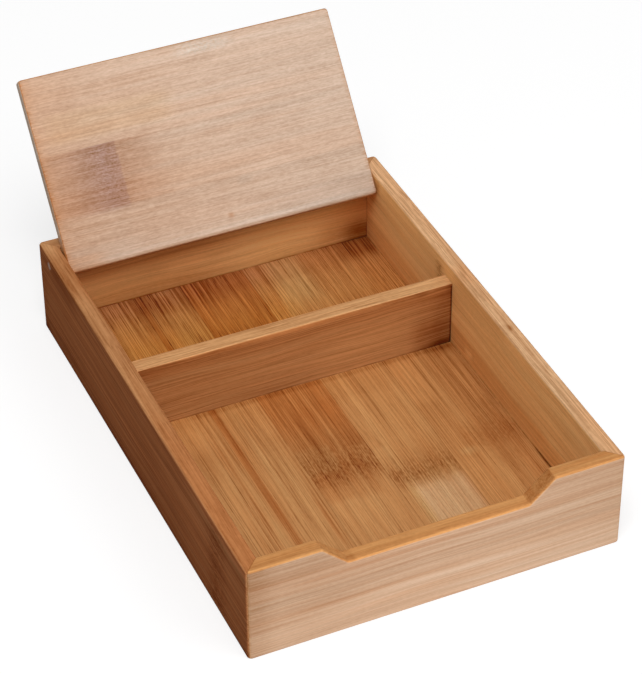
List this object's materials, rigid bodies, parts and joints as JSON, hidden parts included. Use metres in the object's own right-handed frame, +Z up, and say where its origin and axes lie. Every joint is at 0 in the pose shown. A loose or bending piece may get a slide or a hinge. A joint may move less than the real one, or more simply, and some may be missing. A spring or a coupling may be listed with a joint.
{
  "type": "memo holder",
  "caption": "Wooden desk tray for note sheets: mitred walls, scooped front, cross divider and a flat lid that pivots open over the rear compartment.",
  "frame": {"origin": "middle of the tray's underside, on the surface it rests on", "axes": "+X to the right seen from the scooped front, +Y to the back along the tray's length, +Z up"},
  "size_m": [0.13, 0.2174, 0.0843],
  "materials": {
    "bamboo_wall": "satin",
    "bamboo_floor": "satin",
    "bamboo_divider": "satin",
    "bamboo_lid": "satin",
    "steel_pin": "satin"
  },
  "bodies": {
    "tray": {"left_side": "bamboo_wall", "right_side": "bamboo_wall", "front_panel": "bamboo_wall", "back_panel": "bamboo_wall", "floor_panel": "bamboo_floor", "divider": "bamboo_divider", "hinge_pin_left": "steel_pin", "hinge_pin_right": "steel_pin"},
    "lid": {"lid": "bamboo_lid"}
  },
  "joints": [
    {"name": "lid_hinge", "type": "hinge", "parent": "tray", "child": "lid", "pos_m": [0, 0.0821, 0.033], "axis": [1, 0, 0], "range_deg": [0, 129.1]}
  ]
}
